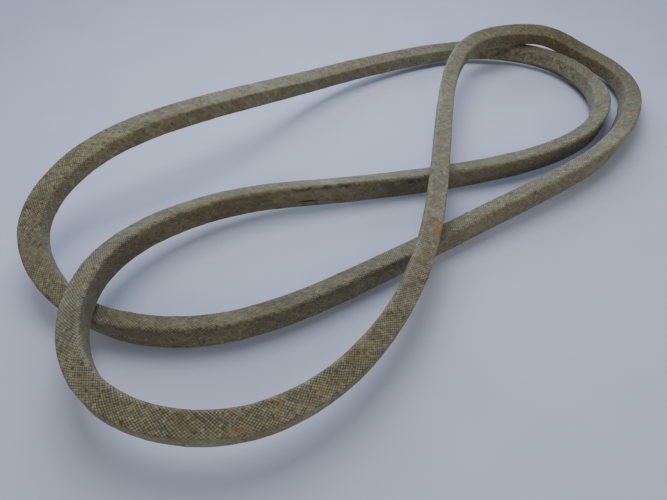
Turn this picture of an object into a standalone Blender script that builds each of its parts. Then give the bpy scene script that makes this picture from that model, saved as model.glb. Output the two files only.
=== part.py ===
"""Wrapped V belt of the 12.7 x 8 mm section, laid down doubled over on itself.

The belt is one endless loop, 1.5 m long.  Every piece of it, from the woven covers to the
tension cord, is the same closed route carried through its own outline in the belt's section.
Lengths below are millimetres; the meshes are metres, +Z up, resting on z = 0.
"""
import math

import bmesh
import bpy
import numpy as np

MM = 0.001

# The section: a trapezoid, wide across the back and narrow across the base.
TOP_WIDTH = 12.7
HEIGHT = 8.0
WEDGE_ANGLE = 40.0

# Layers, from the outside in.  CLEARANCE is kept between neighbouring pieces.
CLEARANCE = 0.20
COVER_PLY = 0.45
SEAM_GAP = 0.35
OUTER_SEAM_AT = 2.0
OVERCORD = 1.00
GUM_STRIP = 0.30
CORD_DIAMETER = 0.90
CORD_PITCH = 1.10
CORD_TURNS = 6
CORD_SIDES = 5
CORD_END_GAP = 0.30
BACK_CORNER_CUT = 1.0
BASE_CORNER_CUT = 0.6

# Stations along the route: the shares of these steps used up between two of them sum to one.
STRAIGHT_STEP = 60.0
BEND_STEP = math.radians(18.0)
TWIST_STEP = math.radians(9.0)
FINE_STEPS = 4000
SMOOTH_EDGE = math.radians(35.0)

# The route of the section's middle, clockwise from the left end seen from above:
# x, y, the gap under the belt's lowest edge, and the lean of the back in degrees.
# A lean of 90 holds the back upright and facing left of travel, 0 turns it to the sky.
ROUTE = (
    # left end of the outer bow, then its far run, down on to the floor
    (-140.3, -50, 11, 99), (-133, -24, 20, 88), (-111.3, -4, 25, 93), (-85, 15.5, 24.5, 96),
    (-66, 34, 20.5, 93), (-44, 61.5, 12.5, 87), (-17.5, 90, 5, 88), (13, 111.5, 1, 92),
    (46, 125, 0, 93), (79, 127, 0, 97),
    # first turn at the right, and the middle run back, which climbs to the left
    (107, 115.3, 0, 107), (123.3, 83, 0, 104), (120, 57, 1, 95), (107, 36, 1, 95),
    (79, 16, 0.5, 99), (41, 2.5, 0, 100), (5, -5.5, 0, 96), (-29.5, -13.4, 2, 93),
    (-62, -22.2, 4.5, 95), (-89.4, -38.3, 7.5, 96), (-107, -62, 11.5, 96),
    # near bow, turned the other way, held up off the floor
    (-110.8, -83, 13.5, 95), (-106.8, -103, 13.5, 90), (-94.5, -119.3, 12.5, 88),
    (-72.4, -128.6, 12, 84), (-51.2, -128.1, 11.5, 82), (-31.8, -119.5, 11, 79),
    # up and over all three runs
    (-13.5, -102.5, 11, 78), (2, -78, 12, 78), (14.5, -43, 13.5, 89), (22, -9, 13.5, 93),
    (30, 32, 12.5, 92), (43, 81, 14, 88), (57.5, 106, 14.5, 84),
    # second turn at the right, down beside the first
    (92, 125.2, 12.8, 78), (110, 125.7, 10.2, 80), (125, 119.8, 4.5, 86),
    (141.5, 96.5, 0.3, 99), (142, 75, 0, 107),
    (131.5, 49, 0.5, 112), (102.5, 11.5, 3, 95), (76.5, -8, 3, 94), (42, -29, 1.5, 95),
    # near run back to the left end, under the near bow
    (11, -48, 0, 99), (-17, -65, 0, 94), (-42.5, -79, 0, 96), (-67.5, -87, 0, 93),
    (-94, -87, 0, 94), (-112.4, -81.5, 0, 105), (-130, -69, 3.5, 107),
)

FABRIC_TAN = (0.190, 0.168, 0.120, 1.0)
FABRIC_INNER = (0.085, 0.075, 0.055, 1.0)
RUBBER_BLACK = (0.018, 0.018, 0.018, 1.0)
GUM_BROWN = (0.060, 0.042, 0.028, 1.0)
CORD_CREAM = (0.620, 0.560, 0.420, 1.0)


def clear_scene():
    """Remove whatever the scene holds."""
    for item in list(bpy.data.objects):
        bpy.data.objects.remove(item, do_unlink=True)


def make_material(name, color, roughness):
    """A plain Principled material of one colour."""
    material = bpy.data.materials.new(name)
    material.use_nodes = True
    shader = material.node_tree.nodes["Principled BSDF"]
    shader.inputs["Base Color"].default_value = color
    shader.inputs["Roughness"].default_value = roughness
    shader.inputs["Metallic"].default_value = 0.0
    return material


# ------------------------------------------------------------------ the route

def closed_spline(knots):
    """A smooth closed curve through the knots: cubic pieces with matching bends.

    Returns a function of arc parameter and the parameter's full length.  The knots' own
    distances set the parameter; second derivatives come from one cyclic linear system.
    """
    count = len(knots)
    ahead = np.roll(knots, -1, axis=0)
    gaps = np.linalg.norm((ahead - knots)[:, :3], axis=1)
    starts = np.concatenate(([0.0], np.cumsum(gaps)))
    before = np.roll(gaps, 1)
    slopes = (ahead - knots) / gaps[:, None]
    system = np.zeros((count, count))
    rows = np.arange(count)
    system[rows, rows] = 2.0 * (before + gaps)
    system[rows, (rows - 1) % count] += before
    system[rows, (rows + 1) % count] += gaps
    bends = np.linalg.solve(system, 6.0 * (slopes - np.roll(slopes, 1, axis=0)))
    bends_ahead = np.roll(bends, -1, axis=0)

    def curve(parameter):
        wrapped = np.mod(parameter, starts[-1])
        piece = np.clip(np.searchsorted(starts, wrapped, side="right") - 1, 0, count - 1)
        gap = gaps[piece][:, None]
        after = (wrapped - starts[piece])[:, None]
        left = gap - after
        cubic = (bends[piece] * left ** 3 + bends_ahead[piece] * after ** 3) / (6.0 * gap)
        line_start = knots[piece] / gap - bends[piece] * gap / 6.0
        line_end = ahead[piece] / gap - bends_ahead[piece] * gap / 6.0
        return cubic + line_start * left + line_end * after

    return curve, starts[-1]


def reach_below(lean):
    """How far the section's lowest corner lies under its middle, at each lean."""
    corners = belt_outline(0.0, HEIGHT, 0.0)
    rise = -corners[:, 0] * np.sin(lean)[:, None] + corners[:, 1] * np.cos(lean)[:, None]
    return -rise.min(axis=1)


def frames_along(points, lean):
    """Unit axes of the section at each point of a closed run of points.

    across runs over the belt's width and back points out of the belt's back, both square to
    the direction of travel; lean turns them about it.
    """
    travel = np.roll(points, -1, axis=0) - np.roll(points, 1, axis=0)
    travel /= np.linalg.norm(travel, axis=1)[:, None]
    level = np.cross((0.0, 0.0, 1.0), travel)
    level /= np.linalg.norm(level, axis=1)[:, None]
    up = np.cross(travel, level)
    sine, cosine = np.sin(lean)[:, None], np.cos(lean)[:, None]
    across = cosine * level - sine * up
    back = cosine * up + sine * level
    return travel, across, back


def belt_stations():
    """Middles and axes of the section at stations spaced closer where the belt bends."""
    knots = np.array(ROUTE, dtype=float)
    knots[:, 3] = np.radians(knots[:, 3])
    knots[:, 2] += reach_below(knots[:, 3])
    curve, length = closed_spline(knots)
    fine = curve(np.arange(FINE_STEPS) * length / FINE_STEPS)
    travel, across, back = frames_along(fine[:, :3], fine[:, 3])
    step = np.linalg.norm(np.roll(fine[:, :3], -1, axis=0) - fine[:, :3], axis=1)
    turn = np.linalg.norm(np.roll(travel, -1, axis=0) - travel, axis=1)
    twist = np.abs((np.roll(across, -1, axis=0) * back).sum(axis=1))
    shares = step / STRAIGHT_STEP + turn / BEND_STEP + twist / TWIST_STEP
    measure = np.concatenate(([0.0], np.cumsum(shares)))
    count = math.ceil(measure[-1])
    marks = np.arange(count) * measure[-1] / count
    places = np.interp(marks, measure, np.arange(FINE_STEPS + 1)) * length / FINE_STEPS
    chosen = curve(places)
    travel, across, back = frames_along(chosen[:, :3], chosen[:, 3])
    return chosen[:, :3], travel, across, back


# ---------------------------------------------------------------- the section

def half_width(depth, inset):
    """Half the width at a depth under the back, inside flanks moved in by inset."""
    wedge = math.radians(WEDGE_ANGLE / 2.0)
    return TOP_WIDTH / 2.0 - depth * math.tan(wedge) - inset / math.cos(wedge)


def belt_outline(top, bottom, inset):
    """The wedge between two depths, as four corners turning counter-clockwise."""
    upper, lower = half_width(top, inset), half_width(bottom, inset)
    high, low = HEIGHT / 2.0 - top, HEIGHT / 2.0 - bottom
    return np.array([(upper, high), (-upper, high), (-lower, low), (lower, low)])


def cut_corners(outline, cuts):
    """Replace each corner by two points, set back from it by its cut."""
    points = []
    for index, corner in enumerate(outline):
        for other in (outline[index - 1], outline[(index + 1) % len(outline)]):
            edge = other - corner
            points.append(corner + edge * cuts[index] / np.linalg.norm(edge))
    return np.array(points)


def split_edge(outline, index, share):
    """Add a point to the edge that starts at index, at a share of its length."""
    start, end = outline[index], outline[(index + 1) % len(outline)]
    return np.insert(outline, index + 1, start + (end - start) * share, axis=0)


def wrapped_ply(outer, inner, seam_at, seam_index):
    """A ply folded round the belt: two outlines joined through an open seam.

    The seam crosses the edge that starts at seam_index of each outline.
    """
    def opened(outline, index):
        start, end = outline[index], outline[(index + 1) % len(outline)]
        middle = (seam_at - start[0]) / (end[0] - start[0])
        half = SEAM_GAP / 2.0 / abs(end[0] - start[0])
        lips = start + (end - start) * np.array([[middle - half], [middle + half]])
        rest = np.roll(outline, -(index + 1), axis=0)
        return np.vstack((lips[1:], rest, lips[:1]))

    outside = opened(outer, seam_index[0])
    inside = opened(inner, seam_index[1])
    return np.vstack((outside, inside[::-1]))


# ------------------------------------------------------------------ the solids

def sweep(name, outlines, stations, material, closed=True):
    """Carry an outline along the stations and close it into one solid.

    outlines holds one outline per station, in the section's across and back directions.
    Each four-sided patch is split from its earlier corner, counter-clockwise about the belt's
    middle, to its later one, so that the faces of touching layers lie side by side.
    """
    middles, _, across, back = stations
    places = (middles[:, None] + outlines[..., :1] * across[:, None]
              + outlines[..., 1:] * back[:, None]) * MM
    first, second = outlines, np.roll(outlines, -1, axis=1)
    forward = first[..., 0] * second[..., 1] - first[..., 1] * second[..., 0] >= 0.0

    mesh = bmesh.new()
    rings = [[mesh.verts.new(place) for place in ring] for ring in places]
    count, sides = len(rings), len(rings[0])
    for near in range(count if closed else count - 1):
        far = (near + 1) % count
        for side in range(sides):
            other = (side + 1) % sides
            a, b = rings[near][side], rings[near][other]
            c, d = rings[far][other], rings[far][side]
            if forward[near, side]:
                faces = ((a, b, c), (a, c, d))
            else:
                faces = ((a, b, d), (b, c, d))
            for corners in faces:
                mesh.faces.new(corners)
    if not closed:
        mesh.faces.new(rings[0][::-1])
        mesh.faces.new(rings[-1])
    bmesh.ops.recalc_face_normals(mesh, faces=mesh.faces[:])
    if mesh.calc_volume(signed=True) < 0.0:
        bmesh.ops.reverse_faces(mesh, faces=mesh.faces[:])

    data = bpy.data.meshes.new(name)
    mesh.to_mesh(data)
    mesh.free()
    data.materials.append(material)
    data.shade_smooth()
    data.set_sharp_from_angle(angle=SMOOTH_EDGE)
    solid = bpy.data.objects.new(name, data)
    bpy.context.scene.collection.objects.link(solid)
    return solid


def same_outline(outline, stations):
    """One outline repeated at every station."""
    return np.repeat(outline[None], len(stations[0]), axis=0)


def cord_outlines(turn, count, cord_line):
    """Round outlines of one turn of the cord, which moves over by a pitch in its turn."""
    angles = np.arange(CORD_SIDES) * 2.0 * math.pi / CORD_SIDES
    ring = np.stack((np.cos(angles), np.sin(angles)), axis=1) * CORD_DIAMETER / 2.0
    lanes = (turn + np.arange(count) / (count - 1) - CORD_TURNS / 2.0) * CORD_PITCH
    outlines = np.repeat(ring[None], count, axis=0)
    outlines[..., 0] += lanes[:, None]
    outlines[..., 1] += HEIGHT / 2.0 - cord_line
    return outlines


def cord_stations(stations):
    """The belt's stations opened into one turn, its ends drawn back from each other."""
    opened = [np.vstack((values, values[:1])) for values in stations]
    middles, travel = opened[0], opened[1]
    middles[0] += travel[0] * CORD_END_GAP / 2.0
    middles[-1] -= travel[-1] * CORD_END_GAP / 2.0
    return opened


def set_down(stations):
    """Move the belt so that its bounding box stands on z = 0 about the origin."""
    middles, travel, across, back = stations
    outline = cut_corners(belt_outline(0.0, HEIGHT, 0.0), CORNER_CUTS)
    skin = (middles[:, None] + outline[None, :, :1] * across[:, None]
            + outline[None, :, 1:] * back[:, None]).reshape(-1, 3)
    low, high = skin.min(axis=0), skin.max(axis=0)
    shift = np.array(((low[0] + high[0]) / 2.0, (low[1] + high[1]) / 2.0, low[2]))
    return middles - shift, travel, across, back


CORNER_CUTS = (BACK_CORNER_CUT, BACK_CORNER_CUT, BASE_CORNER_CUT, BASE_CORNER_CUT)

# Where the edges of an outline start: back, flank, base, flank.
BACK, FLANK, BASE, OTHER_FLANK = 0, 1, 2, 3


def build_belt():
    """Build every piece of the belt, from its outer cover to its base rubber."""
    stations = set_down(belt_stations())

    fabric = make_material("outer_cover_fabric", FABRIC_TAN, 0.95)
    lining = make_material("inner_cover_fabric", FABRIC_INNER, 0.92)
    rubber = make_material("black_rubber", RUBBER_BLACK, 0.75)
    gum = make_material("brown_adhesion_gum", GUM_BROWN, 0.70)
    cord = make_material("polyester_cord", CORD_CREAM, 0.80)

    # The cord line splits the flanks of the layers beside it.
    depth = COVER_PLY + CLEARANCE
    core_depth = depth + COVER_PLY
    inset = core_depth + CLEARANCE
    gum_top = inset + OVERCORD + CLEARANCE
    cord_line = gum_top + GUM_STRIP + CLEARANCE + CORD_DIAMETER / 2.0

    # The outer ply is folded round with its seam along the back.
    outside = cut_corners(belt_outline(0.0, HEIGHT, 0.0), CORNER_CUTS)
    inside = belt_outline(COVER_PLY, HEIGHT - COVER_PLY, COVER_PLY)
    inside = split_edge(inside, BASE, 0.5)
    ply = wrapped_ply(outside, inside, OUTER_SEAM_AT, (BACK + 1, BACK))
    sweep("outer_cover_ply", same_outline(ply, stations), stations, fabric)

    # The inner ply lies inside it with its seam along the base.
    outside = belt_outline(depth, HEIGHT - depth, depth)
    wide = half_width(depth, depth)
    outside = split_edge(outside, BACK, (wide - OUTER_SEAM_AT) / (2.0 * wide))
    inside = belt_outline(core_depth, HEIGHT - core_depth, core_depth)
    share = (cord_line - core_depth) / (HEIGHT - 2.0 * core_depth)
    inside = split_edge(inside, OTHER_FLANK, 1.0 - share)
    inside = split_edge(inside, FLANK, share)
    ply = wrapped_ply(outside, inside, 0.0, (BASE + 1, BASE + 1))
    sweep("inner_cover_ply", same_outline(ply, stations), stations, lining)

    # Inside the covers the layers lie on each other from the back to the base.
    outline = belt_outline(inset, inset + OVERCORD, inset)
    sweep("overcord_rubber", same_outline(outline, stations), stations, rubber)
    outline = split_edge(belt_outline(gum_top, gum_top + GUM_STRIP, inset), BASE, 0.5)
    sweep("upper_adhesion_gum", same_outline(outline, stations), stations, gum)

    turn_stations = cord_stations(stations)
    for turn in range(CORD_TURNS):
        outlines = cord_outlines(turn, len(turn_stations[0]), cord_line)
        sweep(f"tension_cord_turn_{turn + 1}", outlines, turn_stations, cord, closed=False)

    top = cord_line + CORD_DIAMETER / 2.0 + CLEARANCE
    outline = split_edge(belt_outline(top, top + GUM_STRIP, inset), BACK, 0.5)
    sweep("lower_adhesion_gum", same_outline(outline, stations), stations, gum)
    top += GUM_STRIP + CLEARANCE
    outline = split_edge(belt_outline(top, HEIGHT - inset, inset), BASE, 0.5)
    sweep("undercord_rubber", same_outline(outline, stations), stations, rubber)


clear_scene()
build_belt()
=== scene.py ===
"""Looks of a wrapped V belt lying doubled over on itself.

Every piece is one outline in the belt's section carried along one closed route.  Sizes in the
classes are millimetres; the meshes are metres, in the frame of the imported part.
"""
import logging
import math
from dataclasses import dataclass
from enum import Enum

import bpy
import numpy as np
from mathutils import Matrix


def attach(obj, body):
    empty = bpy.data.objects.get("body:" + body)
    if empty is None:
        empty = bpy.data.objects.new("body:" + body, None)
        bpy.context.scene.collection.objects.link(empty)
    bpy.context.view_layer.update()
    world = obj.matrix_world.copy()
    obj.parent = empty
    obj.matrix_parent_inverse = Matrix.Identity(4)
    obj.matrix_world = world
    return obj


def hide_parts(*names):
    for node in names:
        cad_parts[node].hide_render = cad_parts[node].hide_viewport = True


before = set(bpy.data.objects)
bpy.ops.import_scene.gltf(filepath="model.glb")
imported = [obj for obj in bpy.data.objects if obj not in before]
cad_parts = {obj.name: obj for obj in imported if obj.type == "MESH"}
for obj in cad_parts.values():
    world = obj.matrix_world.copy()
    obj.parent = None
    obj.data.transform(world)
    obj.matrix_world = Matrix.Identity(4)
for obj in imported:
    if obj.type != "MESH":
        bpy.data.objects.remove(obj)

LOG = logging.getLogger("v_belt")
MM = 0.001
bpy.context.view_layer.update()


# ---------------------------------------------------------------- small tools

def linear(hex_color: str) -> tuple[float, float, float, float]:
    """Turn an sRGB hex colour into linear light.

    Each channel c becomes c / 12.92 in the darkest part and ((c + 0.055) / 1.055) ^ 2.4 above.

    Args:
        hex_color: six hex digits, red first.

    Returns:
        Red, green, blue and an alpha of one.
    """
    channels = np.array([int(hex_color[start:start + 2], 16) / 255.0 for start in (0, 2, 4)])
    light = np.where(channels <= 0.04045, channels / 12.92, ((channels + 0.055) / 1.055) ** 2.4)
    return (*light.tolist(), 1.0)


def add_node(tree: bpy.types.NodeTree, kind: str, inputs: dict | None = None,
             **settings: object) -> bpy.types.Node:
    """Add one node with its settings, and give its inputs values or links.

    Args:
        tree: the material's node tree.
        kind: the node's type name.
        inputs: socket name or number to a value, or to the socket that feeds it.
        settings: properties of the node itself.

    Returns:
        The new node.
    """
    node = tree.nodes.new(kind)
    for name, value in settings.items():
        setattr(node, name, value)
    for name, value in (inputs or {}).items():
        if isinstance(value, bpy.types.NodeSocket):
            tree.links.new(value, node.inputs[name])
        else:
            node.inputs[name].default_value = value
    return node


def fill_ramp(node: bpy.types.Node, stops: list[tuple[float, str]]) -> None:
    """Give a colour ramp its stops.

    Args:
        node: a colour ramp node.
        stops: position and hex colour of each stop, in order.
    """
    elements = node.color_ramp.elements
    while len(elements) < len(stops):
        elements.new(0.5)
    for element, (position, color) in zip(elements, stops):
        element.position = position
        element.color = linear(color)


def start_material(name: str) -> tuple[bpy.types.Material, bpy.types.NodeTree, bpy.types.Node]:
    """Make a material with one Principled shader.

    Args:
        name: the material's name.

    Returns:
        The material, its node tree and its shader node.
    """
    material = bpy.data.materials.new(name)
    material.use_nodes = True
    tree = material.node_tree
    return material, tree, tree.nodes["Principled BSDF"]


# ------------------------------------------------------------------- the route

@dataclass(frozen=True)
class Run:
    """Evenly spaced places along the closed route, with the section's axes at each."""

    middles: np.ndarray
    travel: np.ndarray
    across: np.ndarray
    back: np.ndarray
    along: np.ndarray
    length: float

    def nearest(self, x: float, y: float, z: float) -> float:
        """Distance along the route of the place nearest to a point in the part's frame.

        Args:
            x: the point's place along X.
            y: the point's place along Y.
            z: the point's height.

        Returns:
            Distance along the route, in millimetres.
        """
        gap = np.linalg.norm(self.middles - np.array((x, y, z)), axis=1)
        return float(self.along[np.argmin(gap)])

    def distance_from(self, start: float) -> np.ndarray:
        """Signed distance of each place from one place, the short way round."""
        return np.mod(self.along - start + self.length / 2.0, self.length) - self.length / 2.0


@dataclass(frozen=True)
class Section:
    """The belt's section: a wedge, wide across the back and narrow across the base."""

    top_width: float = 12.7
    height: float = 8.0
    wedge_angle: float = 40.0

    def half_width(self, depth: float, inset: float = 0.0) -> float:
        """Half the width at a depth under the back, inside flanks moved in by inset."""
        wedge = math.radians(self.wedge_angle / 2.0)
        return self.top_width / 2.0 - depth * math.tan(wedge) - inset / math.cos(wedge)

    def wedge(self, top: float, bottom: float, inset: float = 0.0) -> np.ndarray:
        """Corners of the wedge between two depths, counter-clockwise from the back's end."""
        upper, lower = self.half_width(top, inset), self.half_width(bottom, inset)
        high, low = self.height / 2.0 - top, self.height / 2.0 - bottom
        return np.array([(upper, high), (-upper, high), (-lower, low), (lower, low)])


@dataclass(frozen=True)
class Route:
    """The closed way in which the belt lies, clockwise from its left end seen from above.

    Each point holds x, y, the gap under the belt's lowest edge, and the lean of its back in
    degrees: 90 holds the back upright facing left of travel, 0 turns it to the sky.
    """

    section: Section = Section()
    fine_steps: int = 8000
    # How far rounding keeps the skin inside the sharp wedge: off the back, base and flanks.
    rounding: tuple[float, float, float] = (0.35, 0.3, 0.2)
    points: tuple[tuple[float, float, float, float], ...] = (
        (-140.3, -50, 11, 99), (-133, -24, 20, 88), (-111.3, -4, 25, 93), (-85, 15.5, 24.5, 96),
        (-66, 34, 20.5, 93), (-44, 61.5, 12.5, 87), (-17.5, 90, 5, 88), (13, 111.5, 1, 92),
        (46, 125, 0, 93), (79, 127, 0, 97),
        (107, 115.3, 0, 107), (123.3, 83, 0, 104), (120, 57, 1, 95), (107, 36, 1, 95),
        (79, 16, 0.5, 99), (41, 2.5, 0, 100), (5, -5.5, 0, 96), (-29.5, -13.4, 2, 93),
        (-62, -22.2, 4.5, 95), (-89.4, -38.3, 7.5, 96), (-107, -62, 11.5, 96),
        (-110.8, -83, 13.5, 95), (-106.8, -103, 13.5, 90), (-94.5, -119.3, 12.5, 88),
        (-72.4, -128.6, 12, 84), (-51.2, -128.1, 11.5, 82), (-31.8, -119.5, 11, 79),
        (-13.5, -102.5, 11, 78), (2, -78, 12, 78), (14.5, -43, 13.5, 89), (22, -9, 13.5, 93),
        (30, 32, 12.5, 92), (43, 81, 14, 88), (57.5, 106, 14.5, 84),
        (92, 125.2, 12.8, 78), (110, 125.7, 10.2, 80), (125, 119.8, 4.5, 86),
        (141.5, 96.5, 0.3, 99), (142, 75, 0, 107),
        (131.5, 49, 0.5, 112), (102.5, 11.5, 3, 95), (76.5, -8, 3, 94), (42, -29, 1.5, 95),
        (11, -48, 0, 99), (-17, -65, 0, 94), (-42.5, -79, 0, 96), (-67.5, -87, 0, 93),
        (-94, -87, 0, 94), (-112.4, -81.5, 0, 105), (-130, -69, 3.5, 107),
    )

    def reach_below(self, lean: np.ndarray) -> np.ndarray:
        """How far the section's lowest corner lies under its middle, at each lean."""
        corners = self.section.wedge(0.0, self.section.height)
        rise = (-corners[:, 0] * np.sin(lean)[:, None]
                + corners[:, 1] * np.cos(lean)[:, None])
        return -rise.min(axis=1)

    def curve(self, places: np.ndarray) -> np.ndarray:
        """Points of the smooth closed curve through the route's points.

        Between two points each coordinate is a cubic whose second derivatives match its
        neighbours', found from one cyclic linear system; distance between points is the
        parameter.

        Args:
            places: shares of the whole way round, from 0 to 1.

        Returns:
            One row for each place: x, y, height of the section's middle, and lean in radians.
        """
        knots = np.array(self.points, dtype=float)
        knots[:, 3] = np.radians(knots[:, 3])
        knots[:, 2] += self.reach_below(knots[:, 3])
        count = len(knots)
        ahead = np.roll(knots, -1, axis=0)
        gaps = np.linalg.norm((ahead - knots)[:, :3], axis=1)
        starts = np.concatenate(([0.0], np.cumsum(gaps)))
        before = np.roll(gaps, 1)
        slopes = (ahead - knots) / gaps[:, None]
        system = np.zeros((count, count))
        rows = np.arange(count)
        system[rows, rows] = 2.0 * (before + gaps)
        system[rows, (rows - 1) % count] += before
        system[rows, (rows + 1) % count] += gaps
        bends = np.linalg.solve(system, 6.0 * (slopes - np.roll(slopes, 1, axis=0)))
        bends_ahead = np.roll(bends, -1, axis=0)

        wrapped = np.mod(places, 1.0) * starts[-1]
        piece = np.clip(np.searchsorted(starts, wrapped, side="right") - 1, 0, count - 1)
        gap = gaps[piece][:, None]
        after = (wrapped - starts[piece])[:, None]
        left = gap - after
        cubic = (bends[piece] * left ** 3 + bends_ahead[piece] * after ** 3) / (6.0 * gap)
        line_start = knots[piece] / gap - bends[piece] * gap / 6.0
        line_end = ahead[piece] / gap - bends_ahead[piece] * gap / 6.0
        return cubic + line_start * left + line_end * after

    def axes(self, middles: np.ndarray, lean: np.ndarray) -> tuple[np.ndarray, ...]:
        """Travel, across and back directions at each point of a closed run.

        Travel joins a point's neighbours.  Level lies flat, left of travel; across and back
        are level and its upright turned about travel by the lean.
        """
        travel = np.roll(middles, -1, axis=0) - np.roll(middles, 1, axis=0)
        travel /= np.linalg.norm(travel, axis=1)[:, None]
        level = np.cross((0.0, 0.0, 1.0), travel)
        level /= np.linalg.norm(level, axis=1)[:, None]
        up = np.cross(travel, level)
        sine, cosine = np.sin(lean)[:, None], np.cos(lean)[:, None]
        return travel, cosine * level - sine * up, cosine * up + sine * level

    def run(self, count: int) -> Run:
        """Places spaced evenly along the route, set down about the origin on z = 0.

        Args:
            count: how many places.

        Returns:
            The places and their axes, in millimetres.
        """
        shares = np.arange(self.fine_steps) / self.fine_steps
        fine = self.curve(shares)
        _, across, back = self.axes(fine[:, :3], fine[:, 3])
        off_back, off_base, off_flanks = self.rounding
        corners = self.section.wedge(off_back, self.section.height - off_base, off_flanks)
        skin = (fine[:, None, :3] + corners[None, :, :1] * across[:, None]
                + corners[None, :, 1:] * back[:, None]).reshape(-1, 3)
        low, high = skin.min(axis=0), skin.max(axis=0)
        shift = np.array(((low[0] + high[0]) / 2.0, (low[1] + high[1]) / 2.0, low[2]))

        step = np.linalg.norm(np.roll(fine[:, :3], -1, axis=0) - fine[:, :3], axis=1)
        ground = np.concatenate(([0.0], np.cumsum(step)))
        along = np.arange(count) * ground[-1] / count
        places = np.interp(along, ground, np.append(shares, 1.0))
        chosen = self.curve(places)
        travel, across, back = self.axes(chosen[:, :3], chosen[:, 3])
        return Run(chosen[:, :3] - shift, travel, across, back, along, float(ground[-1]))


# ------------------------------------------------------------------ the outlines

def rounded_outline(corners: np.ndarray, radii: tuple[float, ...], arc_points: int,
                    spacing: float) -> np.ndarray:
    """A wedge with rounded corners, as points that turn counter-clockwise.

    Each corner becomes an arc that touches both its edges; the rest of each edge is split
    into equal steps no longer than the spacing.

    Args:
        corners: the sharp corners, counter-clockwise.
        radii: the radius at each corner.
        arc_points: points on each arc.
        spacing: the longest step along an edge.

    Returns:
        The outline's points, starting on the arc of the first corner.
    """
    arcs = []
    for index, corner in enumerate(corners):
        came = corner - corners[index - 1]
        goes = corners[(index + 1) % len(corners)] - corner
        came, goes = came / np.linalg.norm(came), goes / np.linalg.norm(goes)
        normal_in = np.array((came[1], -came[0]))
        turn = math.atan2(came[0] * goes[1] - came[1] * goes[0], float(came @ goes))
        centre = corner - radii[index] * (normal_in + came * math.tan(turn / 2.0))
        angles = math.atan2(normal_in[1], normal_in[0]) + np.linspace(0.0, turn, arc_points)
        arcs.append(centre + radii[index] * np.stack((np.cos(angles), np.sin(angles)), axis=1))
    points = []
    for index, arc in enumerate(arcs):
        points.append(arc)
        start, end = arc[-1], arcs[(index + 1) % len(arcs)][0]
        steps = max(1, math.ceil(float(np.linalg.norm(end - start)) / spacing))
        shares = np.arange(1, steps)[:, None] / steps
        points.append(start + (end - start) * shares)
    return np.vstack(points)


def opened_at(outline: np.ndarray, seam_at: float, upper: bool, gap: float) -> np.ndarray:
    """Open a closed outline at a seam on its back or its base.

    Args:
        outline: points turning counter-clockwise.
        seam_at: where the seam lies across the section.
        upper: True for a seam on the back, False for one on the base.
        gap: width of the seam.

    Returns:
        The same way round as an open line, which starts and ends at the seam's two lips.
    """
    ahead = np.roll(outline, -1, axis=0)
    side = (outline[:, 1] > 0.0) == upper
    crossing = (outline[:, 0] - seam_at) * (ahead[:, 0] - seam_at) <= 0.0
    index = int(np.flatnonzero(side & crossing & (np.abs(ahead[:, 0] - outline[:, 0]) > 0))[0])
    start, end = outline[index], ahead[index]
    share = (seam_at - start[0]) / (end[0] - start[0])
    middle = start + (end - start) * share
    step = (end - start) / np.linalg.norm(end - start) * gap / 2.0
    rest = np.roll(outline, -(index + 1), axis=0)
    near = np.linalg.norm(rest - middle, axis=1) > gap * 0.75
    return np.vstack((middle + step, rest[near], middle - step))


# ----------------------------------------------------------------- the surfaces

@dataclass(frozen=True)
class Sweep:
    """An outline carried along the route and closed into one skin."""

    name: str
    run: Run
    across: np.ndarray
    outward: np.ndarray
    around: np.ndarray
    closed: bool = True
    cloth_map: str = "belt_cloth"
    sharp_angle: float = 50.0

    def points(self) -> np.ndarray:
        """Places of the grid: middle + across part + back part, one row per station."""
        return (self.run.middles[:, None] + self.across[..., None] * self.run.across[:, None]
                + self.outward[..., None] * self.run.back[:, None]) * MM

    def build(self) -> bpy.types.Object:
        """Put the grid of points into a mesh of quads with a map of its cloth.

        Returns:
            The new object, its faces outwards and shaded smooth.
        """
        points = self.points()
        rows, columns = points.shape[:2]
        strips = rows if self.closed else rows - 1
        near = np.arange(strips)[:, None] * columns
        far = (np.arange(strips)[:, None] + 1) % rows * columns
        here, there = np.arange(columns)[None], (np.arange(columns)[None] + 1) % columns
        quads = np.stack((near + here, near + there, far + there, far + here), axis=-1)
        quads = quads.reshape(-1, 4)

        step = self.run.length / len(self.run.along)
        start = self.run.along[:strips, None] + np.zeros(columns)
        turned = np.append(self.around[1:], self.around[-1] + (self.around[-1] - self.around[-2]))
        here_at = self.around[None] + np.zeros((strips, 1))
        there_at = turned[None] + np.zeros((strips, 1))
        cloth = np.stack((np.stack((start, here_at), -1), np.stack((start, there_at), -1),
                          np.stack((start + step, there_at), -1),
                          np.stack((start + step, here_at), -1)), axis=2) * MM

        faces = quads.tolist()
        corner_map = cloth.reshape(-1, 2)
        if not self.closed:
            ends = (np.arange(columns)[::-1], np.arange(columns) + (rows - 1) * columns)
            faces.extend(end.tolist() for end in ends)
            corner_map = np.vstack((corner_map, np.zeros((2 * columns, 2))))
        mesh = bpy.data.meshes.new(self.name)
        mesh.from_pydata(points.reshape(-1, 3).tolist(), [], faces)
        layer = mesh.uv_layers.new(name=self.cloth_map)
        layer.data.foreach_set("uv", corner_map.astype(np.float32).ravel())
        mesh.shade_smooth()
        mesh.set_sharp_from_angle(angle=math.radians(self.sharp_angle))
        piece = bpy.data.objects.new(self.name, mesh)
        bpy.context.scene.collection.objects.link(piece)
        return piece


def girth(outline: np.ndarray) -> np.ndarray:
    """Distance of each point of an outline from its first, along the outline."""
    steps = np.linalg.norm(np.diff(outline, axis=0), axis=1)
    return np.concatenate(([0.0], np.cumsum(steps)))


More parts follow.
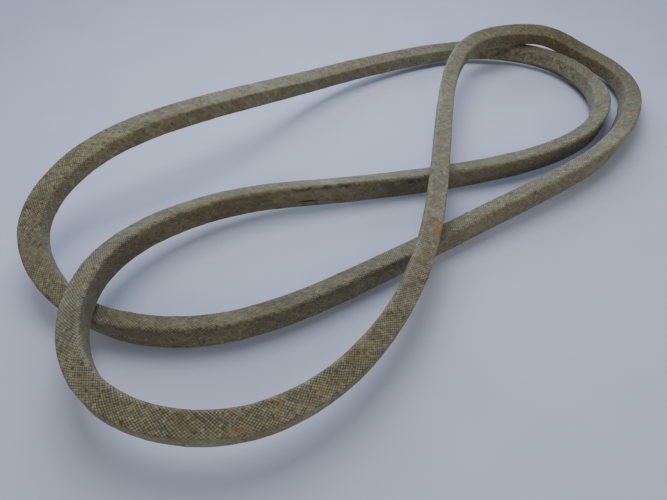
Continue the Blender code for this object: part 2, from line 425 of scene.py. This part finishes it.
def settle(piece: bpy.types.Object, material: bpy.types.Material, node: str) -> None:
    """Dress a piece, hang it from the root body, and hide the part's node that it replaces.

    Args:
        piece: the new piece.
        material: its finish.
        node: the part's node that it replaces.
    """
    piece.data.materials.append(material)
    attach(piece, "root")
    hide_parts(node)
    LOG.info("%s: %d faces", piece.name, len(piece.data.polygons))


# ------------------------------------------------------------------- the finishes

@dataclass(frozen=True)
class Patch:
    """Dirt or wear that lies on the cloth in patches of about one size.

    It shows where noise of that size rises from low to high, up to its strength.
    """

    color: str
    size: float
    low: float
    high: float
    strength: float
    seed: float

    def lay(self, tree: bpy.types.NodeTree, solid: bpy.types.Node,
            under: bpy.types.NodeSocket) -> bpy.types.NodeSocket:
        """Mix this patch over a colour.

        Args:
            tree: the material's node tree.
            solid: the texture coordinate node.
            under: the colour so far.

        Returns:
            The colour with the patches on it.
        """
        shifted = add_node(tree, "ShaderNodeVectorMath",
                           {0: solid.outputs["Object"], 1: (self.seed, -self.seed, self.seed)},
                           operation="ADD")
        cloud = add_node(tree, "ShaderNodeTexNoise",
                         {"Vector": shifted.outputs[0], "Scale": 1.0 / (self.size * MM),
                          "Detail": 4.0, "Roughness": 0.62, "Distortion": 0.4})
        share = add_node(tree, "ShaderNodeMapRange",
                         {"Value": cloud.outputs["Fac"], "From Min": self.low,
                          "From Max": self.high, "To Max": self.strength})
        mixed = add_node(tree, "ShaderNodeMix",
                         {0: share.outputs[0], 6: under, 7: linear(self.color)},
                         data_type="RGBA")
        return mixed.outputs[2]


@dataclass(frozen=True)
class BiasCoverCloth:
    """Rubber-frictioned cotton and polyester cloth, plain woven and cut on the bias.

    The yarns cross the belt a little under 45 degrees, drawn long as the belt was wrapped.
    Olive-tan yarn crowns stand over dark, rubbery pits, and dust, soil, rust and handling
    tint the cloth in patches; the soil tint also lays painted shade on the right-hand bends,
    where the strands shade each other.  Rough, with a dull grazing shine from the rubber in it.
    """

    yarn_pitch: float = 0.76
    yarn_angle: float = 39.0
    belt_length: float = 1530.8
    crown: str = "727258"
    yarn: str = "5A5943"
    pit: str = "35332A"
    # Multiplied in for soil stains, and as painted shade on the right-hand bends.
    soil_and_shade_tint: str = "CCC2A2"
    rust: str = "74531C"
    ink: str = "1E1C18"
    relief: float = 0.20
    roughness: float = 0.50
    sheen: float = 0.06
    # Noise scales, in waves to the metre: yarns wander over 7 mm, ink breaks up over 2.4 mm,
    # pits are 3 mm apart, and fibre fuzz is drawn at 0.4 mm, as fine as can show.
    drift_scale: float = 140.0
    blot_scale: float = 420.0
    pit_scale: float = 330.0
    fibre_scale: float = 2600.0
    drift_reach: float = 0.0011
    pit_chance: float = 0.90
    pit_depth: float = -1.5
    patches: tuple[Patch, ...] = (
        Patch("84866C", 16.0, 0.50, 0.70, 0.45, 3.1),
        Patch("574B28", 11.0, 0.50, 0.72, 0.55, 7.7),
        Patch("6E4C32", 5.0, 0.57, 0.68, 0.35, 12.9),
        Patch("9C9B80", 1.6, 0.53, 0.65, 0.36, 21.3),
        Patch("211E13", 1.3, 0.53, 0.64, 0.62, 33.7),
    )

    def lattice(self) -> tuple[float, float]:
        """Radians per metre, along the belt and round it, across either set of yarns.

        The first is nudged so that the lattice meets itself after one way round.
        """
        lean = math.radians(self.yarn_angle)
        rows = round(self.belt_length * math.sin(lean) / self.yarn_pitch)
        return (math.pi * rows / (self.belt_length * MM),
                math.pi * math.cos(lean) / (self.yarn_pitch * MM))

    def material(self) -> bpy.types.Material:
        """Build the cloth: weave height, yarn tint, slow patches, marks, and bump.

        With u along the belt and v round it, the two sets of yarns count up along
        a = p u + q v and b = p u - q v.  A crossing's height is |sin a| to a power times
        |sin b| to another, and the powers change places from crossing to crossing, as yarns
        go over and under.
        """
        material, tree, shader = start_material("bias_woven_cover_cloth")
        lengthwise, girthwise = self.lattice()
        place = add_node(tree, "ShaderNodeUVMap", uv_map="belt_cloth")
        solid = add_node(tree, "ShaderNodeTexCoord")

        # Yarns wander by a few tenths of a millimetre over about a centimetre.
        drift = add_node(tree, "ShaderNodeTexNoise",
                         {"Vector": solid.outputs["Object"], "Scale": self.drift_scale,
                          "Detail": 1.0})
        level = add_node(tree, "ShaderNodeVectorMath",
                         {0: drift.outputs["Color"], 1: (0.5, 0.5, 0.5)}, operation="SUBTRACT")
        moved = add_node(tree, "ShaderNodeVectorMath",
                         {0: level.outputs[0], 1: (self.drift_reach, self.drift_reach, 0.0),
                          2: place.outputs["UV"]},
                         operation="MULTIPLY_ADD")
        warp = add_node(tree, "ShaderNodeVectorMath",
                        {0: moved.outputs[0], 1: (lengthwise, girthwise, 0.0)},
                        operation="DOT_PRODUCT")
        weft = add_node(tree, "ShaderNodeVectorMath",
                        {0: moved.outputs[0], 1: (lengthwise, -girthwise, 0.0)},
                        operation="DOT_PRODUCT")
        warp_wave = add_node(tree, "ShaderNodeMath", {0: warp.outputs["Value"]},
                             operation="SINE")
        weft_wave = add_node(tree, "ShaderNodeMath", {0: weft.outputs["Value"]},
                             operation="SINE")
        both = add_node(tree, "ShaderNodeMath",
                        {0: warp_wave.outputs[0], 1: weft_wave.outputs[0]},
                        operation="MULTIPLY")
        over = add_node(tree, "ShaderNodeMath", {0: both.outputs[0], 1: 0.0},
                        operation="GREATER_THAN")
        warp_dome = add_node(tree, "ShaderNodeMath", {0: warp_wave.outputs[0]},
                             operation="ABSOLUTE")
        weft_dome = add_node(tree, "ShaderNodeMath", {0: weft_wave.outputs[0]},
                             operation="ABSOLUTE")
        powers = []
        for dome in (warp_dome, weft_dome):
            for power in (1.0, 0.35):
                powers.append(add_node(tree, "ShaderNodeMath",
                                       {0: dome.outputs[0], 1: power}, operation="POWER"))
        warp_over = add_node(tree, "ShaderNodeMath",
                             {0: powers[0].outputs[0], 1: powers[3].outputs[0]},
                             operation="MULTIPLY")
        weft_over = add_node(tree, "ShaderNodeMath",
                             {0: powers[2].outputs[0], 1: powers[1].outputs[0]},
                             operation="MULTIPLY")
        weave = add_node(tree, "ShaderNodeMix",
                         {0: over.outputs[0], 2: weft_over.outputs[0], 3: warp_over.outputs[0]},
                         data_type="FLOAT")

        # Each crossing takes its own tone, and fibre fuzz breaks it up.
        cells = []
        for line in (warp, weft):
            cells.append(add_node(tree, "ShaderNodeMath",
                                  {0: line.outputs["Value"], 1: 1.0 / math.pi},
                                  operation="MULTIPLY"))
        counts = [add_node(tree, "ShaderNodeMath", {0: cell.outputs[0]}, operation="FLOOR")
                  for cell in cells]
        cell_place = add_node(tree, "ShaderNodeCombineXYZ",
                              {0: counts[0].outputs[0], 1: counts[1].outputs[0]})
        cell_tone = add_node(tree, "ShaderNodeTexWhiteNoise",
                             {"Vector": cell_place.outputs[0]}, noise_dimensions="2D")
        yarn_tone = add_node(tree, "ShaderNodeTexWhiteNoise", {"W": counts[1].outputs[0]},
                             noise_dimensions="1D")
        tones = add_node(tree, "ShaderNodeMath",
                         {0: cell_tone.outputs["Value"], 1: yarn_tone.outputs["Value"]},
                         operation="ADD")
        fibre = add_node(tree, "ShaderNodeTexNoise",
                         {"Vector": solid.outputs["Object"], "Scale": self.fibre_scale,
                          "Detail": 3.0, "Roughness": 0.7})
        rough_weave = add_node(tree, "ShaderNodeMath",
                               {0: fibre.outputs["Fac"], 1: 0.5, 2: weave.outputs[0]},
                               operation="MULTIPLY_ADD")
        tone = add_node(tree, "ShaderNodeMapRange",
                        {"Value": rough_weave.outputs[0], "From Min": 0.25, "From Max": 1.25})
        ramp = add_node(tree, "ShaderNodeValToRGB", {"Fac": tone.outputs[0]})
        fill_ramp(ramp, [(0.14, self.pit), (0.46, self.yarn), (0.88, self.crown)])
        cell_light = add_node(tree, "ShaderNodeMapRange",
                              {"Value": tones.outputs[0], "From Max": 2.0,
                               "To Min": 0.60, "To Max": 1.40})
        cell_gray = add_node(tree, "ShaderNodeCombineColor",
                             {0: cell_light.outputs[0], 1: cell_light.outputs[0],
                              2: cell_light.outputs[0]})
        yarns = add_node(tree, "ShaderNodeMix",
                         {0: 1.0, 6: ramp.outputs["Color"], 7: cell_gray.outputs[0]},
                         data_type="RGBA", blend_type="MULTIPLY")

        # Patches of dust, dirt and wear, from centimetres down to specks.
        soiled = yarns.outputs[2]
        for patch in self.patches:
            soiled = patch.lay(tree, solid, soiled)

        # Marks laid on in the mesh: rust in red, ink in green, pits in blue, and in alpha soil
        # stains together with painted shade on the right-hand bends.
        marks = add_node(tree, "ShaderNodeAttribute", attribute_name="belt_marks")
        split = add_node(tree, "ShaderNodeSeparateColor", {0: marks.outputs["Color"]})
        soil_and_shade_mix = add_node(tree, "ShaderNodeMix",
                          {0: marks.outputs["Alpha"], 6: soiled, 7: linear(self.soil_and_shade_tint)},
                          data_type="RGBA", blend_type="MULTIPLY")
        rusty = add_node(tree, "ShaderNodeMix",
                         {0: split.outputs[0], 6: soil_and_shade_mix.outputs[2], 7: linear(self.rust)},
                         data_type="RGBA")
        blot = add_node(tree, "ShaderNodeTexNoise",
                        {"Vector": solid.outputs["Object"], "Scale": self.blot_scale,
                         "Detail": 3.0})
        blot_share = add_node(tree, "ShaderNodeMapRange",
                              {"Value": blot.outputs["Fac"], "From Min": 0.44,
                               "From Max": 0.60})
        ink_share = add_node(tree, "ShaderNodeMath",
                             {0: blot_share.outputs[0], 1: split.outputs[1]},
                             operation="MULTIPLY")
        inked = add_node(tree, "ShaderNodeMix",
                         {0: ink_share.outputs[0], 6: rusty.outputs[2], 7: linear(self.ink)},
                         data_type="RGBA")
        holes = add_node(tree, "ShaderNodeTexVoronoi",
                         {"Vector": solid.outputs["Object"], "Scale": self.pit_scale})
        hole = add_node(tree, "ShaderNodeMapRange",
                        {"Value": holes.outputs["Distance"], "From Min": 0.24,
                         "From Max": 0.12})
        rare = add_node(tree, "ShaderNodeSeparateColor", {0: holes.outputs["Color"]})
        luck = add_node(tree, "ShaderNodeMath", {0: rare.outputs[0], 1: self.pit_chance},
                        operation="GREATER_THAN")
        where = add_node(tree, "ShaderNodeMath",
                         {0: luck.outputs[0], 1: split.outputs[2]}, operation="MAXIMUM")
        hole_share = add_node(tree, "ShaderNodeMath",
                              {0: hole.outputs[0], 1: where.outputs[0]}, operation="MULTIPLY")
        pitted = add_node(tree, "ShaderNodeMix",
                          {0: hole_share.outputs[0], 6: inked.outputs[2], 7: linear(self.pit)},
                          data_type="RGBA")
        tree.links.new(pitted.outputs[2], shader.inputs["Base Color"])

        sunk = add_node(tree, "ShaderNodeMath",
                        {0: hole_share.outputs[0], 1: self.pit_depth,
                         2: rough_weave.outputs[0]},
                        operation="MULTIPLY_ADD")
        bump = add_node(tree, "ShaderNodeBump",
                        {"Height": sunk.outputs[0], "Strength": 1.0,
                         "Distance": self.relief * MM})
        tree.links.new(bump.outputs[0], shader.inputs["Normal"])
        dull = add_node(tree, "ShaderNodeMapRange",
                        {"Value": fibre.outputs["Fac"], "To Min": self.roughness - 0.08,
                         "To Max": 1.0})
        tree.links.new(dull.outputs[0], shader.inputs["Roughness"])
        shader.inputs["Sheen Weight"].default_value = self.sheen
        shader.inputs["Sheen Roughness"].default_value = 0.45
        shader.inputs["Specular IOR Level"].default_value = 0.5
        return material


@dataclass(frozen=True)
class LayerFinish:
    """A hidden layer's finish: one tone with a grain of its own size."""

    name: str
    light: str
    dark: str
    grain: float
    relief: float
    roughness: float

    def material(self) -> bpy.types.Material:
        """Mix the two tones by noise of the grain's size, which also drives the bump."""
        material, tree, shader = start_material(self.name)
        solid = add_node(tree, "ShaderNodeTexCoord")
        grain = add_node(tree, "ShaderNodeTexNoise",
                         {"Vector": solid.outputs["Object"], "Scale": 1.0 / (self.grain * MM),
                          "Detail": 3.0})
        ramp = add_node(tree, "ShaderNodeValToRGB", {"Fac": grain.outputs["Fac"]})
        fill_ramp(ramp, [(0.35, self.dark), (0.65, self.light)])
        bump = add_node(tree, "ShaderNodeBump",
                        {"Height": grain.outputs["Fac"], "Strength": 0.6,
                         "Distance": self.relief * MM})
        dull = add_node(tree, "ShaderNodeMapRange",
                        {"Value": grain.outputs["Fac"], "To Min": self.roughness - 0.06,
                         "To Max": self.roughness + 0.06})
        tree.links.new(ramp.outputs["Color"], shader.inputs["Base Color"])
        tree.links.new(bump.outputs[0], shader.inputs["Normal"])
        tree.links.new(dull.outputs[0], shader.inputs["Roughness"])
        return material


class Layer(Enum):
    """The hidden layers' finishes, each named for what it is."""

    LINING = LayerFinish("frictioned_lining_cloth", "4A4536", "26231B", 0.9, 0.15, 0.92)
    RUBBER = LayerFinish("vulcanised_black_rubber", "232323", "141414", 0.5, 0.05, 0.72)
    GUM = LayerFinish("brown_adhesion_gum", "5A4634", "3E2F22", 1.4, 0.04, 0.60)
    CORD = LayerFinish("stretched_polyester_cord", "D8CBA4", "B7A67C", 0.12, 0.03, 0.70)


# --------------------------------------------------------------------- the belt

class MarkKind(Enum):
    """What a mark is, and which channel of the belt's marks carries it."""

    RUST = 0
    INK = 1
    PIT = 2
    # Soil stains, and painted shade where the right-hand bends shade each other.
    SOIL_AND_SHADE = 3


@dataclass(frozen=True)
class Mark:
    """A soft spot of stain or painted shade: how far it runs along the belt, and where it lies in
    the section.
    """

    kind: MarkKind
    place: tuple[float, float, float]
    reach: float
    centre: tuple[float, float]
    spread: float
    strength: float

    def share(self, run: Run, across: np.ndarray, outward: np.ndarray) -> np.ndarray:
        """Strength times exp(-(along / reach)^4 - (off centre / spread)^4) at each point."""
        along = run.distance_from(run.nearest(*self.place))[:, None]
        off = np.hypot(across - self.centre[0], outward - self.centre[1])
        return self.strength * np.exp(-(along / self.reach) ** 4 - (off / self.spread) ** 4)


@dataclass(frozen=True)
class CoverPlies:
    """The two plies of cloth folded round the belt, the outer one lapped on the back."""

    route: Route = Route()
    ply: float = 0.45
    clearance: float = 0.20
    lap_at: float = 2.0
    lap_gap: float = 0.10
    lap_step: float = 0.14
    back_radius: float = 1.25
    base_radius: float = 1.0
    stations: int = 1180
    inner_stations: int = 800
    slit_place: tuple[float, float, float] = (-39.0, -14.0, 8.0)
    slit_length: float = 4.5
    slit_width: float = 1.5
    slit_lift: float = 0.35
    under_lip_step: float = 0.06
    lip_reach: float = 3.0
    inner_seam_gap: float = 0.35
    # Slow waves of the skin: times round the belt, lean over the girth, phase, height.
    wave_girth: float = 36.0
    waves: tuple[tuple[int, float, float, float], ...] = (
        (31, 1.0, 0.3, 0.030), (57, -2.0, 1.9, 0.030), (94, 3.0, 4.0, 0.025),
        (171, -1.0, 2.4, 0.022), (263, 4.0, 5.1, 0.020), (409, -5.0, 0.8, 0.018),
    )
    marks: tuple[Mark, ...] = (
        Mark(MarkKind.RUST, (12.5, -52.0, 18.0), 4.5, (-4.0, -3.2), 2.4, 0.6),
        Mark(MarkKind.INK, (88.0, 122.0, 7.0), 24.0, (-0.3, -4.0), 2.8, 0.75),
        Mark(MarkKind.INK, (-30.0, -13.0, 8.0), 17.0, (-5.2, 3.9), 1.0, 1.0),
        Mark(MarkKind.INK, (12.0, -6.0, 8.0), 6.0, (-3.5, 4.0), 1.2, 0.7),
        Mark(MarkKind.PIT, (-141.0, -52.0, 18.0), 46.0, (-5.9, 3.0), 2.0, 1.0),
        Mark(MarkKind.PIT, (-100.0, -115.0, 18.0), 30.0, (-5.0, 1.0), 2.5, 1.0),
        Mark(MarkKind.PIT, (-20.0, -66.0, 8.0), 90.0, (-6.0, 3.0), 1.5, 0.8),
        Mark(MarkKind.SOIL_AND_SHADE, (-95.0, -45.0, 12.0), 75.0, (0.0, 4.2), 6.2, 0.7),
        Mark(MarkKind.SOIL_AND_SHADE, (-20.0, -11.0, 8.0), 40.0, (0.0, 4.2), 6.2, 0.25),
        # Painted shade on the right-hand bends: the outer strand's base face that faces the inner
        # strand and its upper flank, and the inner strand's upper flank beside it.
        Mark(MarkKind.SOIL_AND_SHADE, (118.0, 119.0, 12.0), 62.0, (0.0, -4.2), 4.4, 0.9),
        Mark(MarkKind.SOIL_AND_SHADE, (132.0, 112.0, 10.0), 52.0, (-4.8, 0.0), 4.8, 0.85),
        Mark(MarkKind.SOIL_AND_SHADE, (114.0, 106.0, 6.0), 40.0, (-4.8, 0.0), 4.8, 0.45),
        Mark(MarkKind.SOIL_AND_SHADE, (-60.0, -86.0, 8.0), 75.0, (-4.8, 0.0), 4.8, 0.65),
        Mark(MarkKind.SOIL_AND_SHADE, (-134.0, -65.0, 12.0), 40.0, (-4.8, 0.0), 4.8, 0.5),
        Mark(MarkKind.SOIL_AND_SHADE, (-45.0, -126.0, 18.0), 60.0, (-4.8, 0.0), 4.8, 0.25),
        Mark(MarkKind.SOIL_AND_SHADE, (-60.0, 30.0, 20.0), 90.0, (0.0, -4.2), 4.4, 0.2),
    )

    def unevenness(self, run: Run, around: np.ndarray) -> np.ndarray:
        """Slow swelling of the cloth: sines that close on themselves along the belt.

        Each wave goes round a whole number of times, and leans across the girth.
        """
        turn = 2.0 * math.pi * run.along[:, None] / run.length
        across = around[None] / self.wave_girth * 2.0 * math.pi
        return sum(size * np.sin(count * turn + lean * across + phase)
                   for count, lean, phase, size in self.waves)

    def mark_shares(self, run: Run, across: np.ndarray, outward: np.ndarray) -> np.ndarray:
        """Share of each kind of mark at every point of the skin, one column for each kind; the
        soil column also holds painted shade.
        """
        shares = np.zeros((*across.shape, len(MarkKind)))
        for mark in self.marks:
            share = mark.share(run, across, outward)
            shares[..., mark.kind.value] = np.maximum(shares[..., mark.kind.value], share)
        return shares

    def outer(self, material: bpy.types.Material) -> bpy.types.Object:
        """The outer ply: rounded outside, open along the lap, with a slit where it lifts.

        The lips stand back by half the gap, which widens as a bell at the slit, and the lap's
        upper side stands proud by a step that dies away over a few millimetres.
        """
        section = self.route.section
        run = self.route.run(self.stations)
        radii = (self.back_radius, self.back_radius, self.base_radius, self.base_radius)
        outside = opened_at(rounded_outline(section.wedge(0.0, section.height), radii, 8, 0.85),
                            self.lap_at, True, self.lap_gap)
        inner_radii = tuple(radius - self.ply for radius in radii)
        inside = opened_at(
            rounded_outline(section.wedge(self.ply, section.height - self.ply, self.ply),
                            inner_radii, 3, 4.5), self.lap_at, True, self.lap_gap)
        around = girth(outside)
        proud = self.unevenness(run, around)

        # Normals of the outline, square to its neighbours' line.
        ends = np.vstack((2 * outside[0] - outside[1], outside, 2 * outside[-1] - outside[-2]))
        line = ends[2:] - ends[:-2]
        normal = np.stack((line[:, 1], -line[:, 0]), axis=1)
        normal /= np.linalg.norm(normal, axis=1)[:, None]
        proud = proud + self.lap_step * np.exp(-around / 2.2)[None]
        far_side = around[-1] - around
        proud = proud - self.under_lip_step * np.exp(-far_side / 0.8)[None]

        slit_from = run.distance_from(run.nearest(*self.slit_place))[:, None]
        opening = self.slit_width / 2.0 * np.exp(-(slit_from / self.slit_length) ** 2)
        lift = self.slit_lift * np.exp(-(slit_from / (2.0 * self.slit_length)) ** 2)
        shift = (far_side < self.lip_reach) * opening * np.exp(-far_side / 1.0)[None]
        shift = shift - (around < self.lip_reach) * opening * np.exp(-around / 1.0)[None]
        proud = proud + lift * np.exp(-around / 1.5)[None]
        across = outside[None, :, 0] + proud * normal[None, :, 0] + shift
        outward = outside[None, :, 1] + proud * normal[None, :, 1]

        back_again = inside[::-1]
        ones = np.ones((len(run.along), 1))
        inner_shift = np.zeros((len(run.along), len(back_again)))
        inner_shift[:, :1] += opening
        inner_shift[:, -1:] -= opening
        across = np.hstack((across, back_again[None, :, 0] * ones + inner_shift))
        outward = np.hstack((outward, back_again[None, :, 1] * ones))
        around_all = np.append(around, around[-1] + self.ply + girth(back_again))
        sweep = Sweep("outer_cover_cloth", run, across, outward, around_all)
        piece = sweep.build()
        mark_shares = self.mark_shares(run, across, outward).astype(np.float32)
        layer = piece.data.attributes.new("belt_marks", "FLOAT_COLOR", "POINT")
        layer.data.foreach_set("color", mark_shares.ravel())
        settle(piece, material, "outer_cover_ply")
        return piece

    def inner(self, material: bpy.types.Material) -> bpy.types.Object:
        """The inner ply, inside the outer one, with its seam along the base."""
        section = self.route.section
        run = self.route.run(self.inner_stations)
        depth = self.ply + self.clearance
        core = depth + self.ply
        outside = opened_at(
            rounded_outline(section.wedge(depth, section.height - depth, depth),
                            (0.8, 0.8, 0.6, 0.6), 4, 2.5), 0.0, False,
            self.inner_seam_gap)
        inside = opened_at(
            rounded_outline(section.wedge(core, section.height - core, core),
                            (0.4, 0.4, 0.3, 0.3), 3, 3.5), 0.0, False,
            self.inner_seam_gap)
        ring = np.vstack((outside, inside[::-1]))
        grid = np.repeat(ring[None], len(run.along), axis=0)
        around = np.append(girth(outside), girth(outside)[-1] + self.ply + girth(inside[::-1]))
        piece = Sweep("inner_cover_cloth", run, grid[..., 0], grid[..., 1], around).build()
        settle(piece, material, "inner_cover_ply")
        return piece


@dataclass(frozen=True)
class Core:
    """What the covers enclose: cushions, gum and the cord, from the back to the base."""

    route: Route = Route()
    inset: float = 1.30
    overcord: float = 1.00
    gum: float = 0.30
    clearance: float = 0.20
    cord_diameter: float = 0.90
    cord_pitch: float = 1.10
    cord_turns: int = 6
    lay_length: float = 7.0
    strands: int = 3
    # A strand's mean radius and its swell, as shares of the cord's radius.
    strand_radius: tuple[float, float] = (0.93, 0.07)
    cord_sides: int = 12
    stations: int = 800
    cord_stations: int = 1800
    end_gap: float = 0.30

    def slab(self, name: str, top: float, bottom: float, node: str,
             material: bpy.types.Material) -> bpy.types.Object:
        """One layer between two depths, its corners rounded by a tenth of a millimetre."""
        run = self.route.run(self.stations)
        ring = rounded_outline(self.route.section.wedge(top, bottom, self.inset),
                               (0.1, 0.1, 0.1, 0.1), 3, 2.4)
        grid = np.repeat(ring[None], len(run.along), axis=0)
        piece = Sweep(name, run, grid[..., 0], grid[..., 1], girth(ring)).build()
        settle(piece, material, node)
        return piece

    def cord(self, turn: int, depth: float, material: bpy.types.Material) -> bpy.types.Object:
        """One turn of the cord, a lane over at its end from where it starts.

        Its radius swells with the cosine of strands times the angle, less the twist, so that
        the strands wind round each other once in each lay length.
        """
        closed = self.route.run(self.cord_stations)
        middles = np.vstack((closed.middles, closed.middles[:1]))
        middles[0] += closed.travel[0] * self.end_gap / 2.0
        middles[-1] -= closed.travel[0] * self.end_gap / 2.0
        opened = [np.vstack((axes, axes[:1]))
                  for axes in (closed.travel, closed.across, closed.back)]
        along = np.append(closed.along, closed.length)
        run = Run(middles, *opened, along, closed.length)
        angle = np.arange(self.cord_sides)[None] * 2.0 * math.pi / self.cord_sides
        twist = 2.0 * math.pi * along[:, None] / self.lay_length
        mean, swell = self.strand_radius
        radius = self.cord_diameter / 2.0 * (mean + swell * np.cos(self.strands * angle - twist))
        lane = (turn + along / closed.length - self.cord_turns / 2.0) * self.cord_pitch
        across = lane[:, None] + radius * np.cos(angle)
        outward = self.route.section.height / 2.0 - depth + radius * np.sin(angle)
        around = np.arange(self.cord_sides) * math.pi * self.cord_diameter / self.cord_sides
        name = f"tension_cord_{turn + 1}"
        piece = Sweep(name, run, across, outward, around, closed=False).build()
        settle(piece, material, f"tension_cord_turn_{turn + 1}")
        return piece

    def build(self) -> list[bpy.types.Object]:
        """Lay the layers on each other from the back to the base.

        Returns:
            Every piece of the core.
        """
        rubber = Layer.RUBBER.value.material()
        gum = Layer.GUM.value.material()
        cord = Layer.CORD.value.material()
        top = self.inset
        pieces = [self.slab("overcord_cushion", top, top + self.overcord,
                            "overcord_rubber", rubber)]
        top += self.overcord + self.clearance
        pieces.append(self.slab("upper_gum_strip", top, top + self.gum,
                                "upper_adhesion_gum", gum))
        top += self.gum + self.clearance
        line = top + self.cord_diameter / 2.0
        pieces.extend(self.cord(turn, line, cord) for turn in range(self.cord_turns))
        top += self.cord_diameter + self.clearance
        pieces.append(self.slab("lower_gum_strip", top, top + self.gum,
                                "lower_adhesion_gum", gum))
        top += self.gum + self.clearance
        pieces.append(self.slab("undercord_cushion", top, self.route.section.height - self.inset,
                                "undercord_rubber", rubber))
        return pieces


# -------------------------------------------------------------------- the studio

@dataclass(frozen=True)
class Studio:
    """A plain pale floor, soft light from above, behind and in front, and the camera."""

    floor_size: float = 3.0
    floor_height: float = -0.0002
    air_color: str = "EEF0F4"
    air_strength: float = 0.43
    eye: tuple[float, float, float] = (-0.02645, -0.19237, 0.1567)
    look_down: float = 46.17
    lens: float = 27.79

    def floor(self) -> bpy.types.Object:
        """A level sheet just under the belt, with the faintest mottling of card."""
        half = self.floor_size / 2.0
        mesh = bpy.data.meshes.new("studio_floor")
        corners = [(x, y, self.floor_height)
                   for x, y in ((-half, -half), (half, -half), (half, half), (-half, half))]
        mesh.from_pydata(corners, [], [(0, 1, 2, 3)])
        floor = bpy.data.objects.new("studio_floor", mesh)
        bpy.context.scene.collection.objects.link(floor)
        material, tree, shader = start_material("pale_matte_card")
        solid = add_node(tree, "ShaderNodeTexCoord")
        mottle = add_node(tree, "ShaderNodeTexNoise",
                          {"Vector": solid.outputs["Object"], "Scale": 30.0, "Detail": 4.0})
        ramp = add_node(tree, "ShaderNodeValToRGB", {"Fac": mottle.outputs["Fac"]})
        fill_ramp(ramp, [(0.3, "A9B2C6"), (0.7, "ADB6CA")])
        tree.links.new(ramp.outputs["Color"], shader.inputs["Base Color"])
        shader.inputs["Roughness"].default_value = 0.95
        shader.inputs["Specular IOR Level"].default_value = 0.15
        mesh.materials.append(material)
        return floor

    def light(self, name: str, place: tuple[float, float, float], size: float, watts: float,
              color: str) -> None:
        """A square soft light that faces the belt.

        Args:
            name: the light's name.
            place: where it stands, in metres.
            size: its side, in metres.
            watts: its power.
            color: its tint.
        """
        data = bpy.data.lights.new(name, "AREA")
        data.size = size
        data.energy = watts
        data.color = linear(color)[:3]
        lamp = bpy.data.objects.new(name, data)
        bpy.context.scene.collection.objects.link(lamp)
        lamp.location = place
        aim = -np.array(place)
        lamp.rotation_euler = (math.atan2(math.hypot(aim[0], aim[1]), -aim[2]), 0.0,
                               math.atan2(-aim[0], aim[1]))

    def build(self) -> None:
        """Set up the world, the floor, the lights and the camera."""
        world = bpy.data.worlds.new("studio_air")
        bpy.context.scene.world = world
        world.use_nodes = True
        air = world.node_tree.nodes["Background"]
        air.inputs["Color"].default_value = linear(self.air_color)
        air.inputs["Strength"].default_value = self.air_strength
        self.floor()
        self.light("ceiling_panel", (-0.04, 0.06, 0.30), 0.22, 1.00, "F8F8FF")
        self.light("window", (-0.10, 1.25, 0.48), 0.9, 15.0, "DCE8FF")
        self.light("room", (0.20, -1.10, 0.34), 0.9, 7.5, "FFEACC")
        camera = bpy.data.cameras.new("eye")
        camera.lens = self.lens
        camera.sensor_width = 36.0
        camera.clip_start, camera.clip_end = 0.005, 20.0
        eye = bpy.data.objects.new("eye", camera)
        bpy.context.scene.collection.objects.link(eye)
        eye.location = self.eye
        eye.rotation_euler = (math.radians(90.0 - self.look_down), 0.0, 0.0)
        bpy.context.scene.camera = eye


def main() -> None:
    """Build the belt from its cover to its core, light it, and note its size."""
    logging.basicConfig(level=logging.INFO, format="%(name)s %(message)s")
    Studio().build()
    plies = CoverPlies()
    plies.outer(BiasCoverCloth().material())
    plies.inner(Layer.LINING.value.material())
    Core().build()


if __name__ == "__main__":
    main()
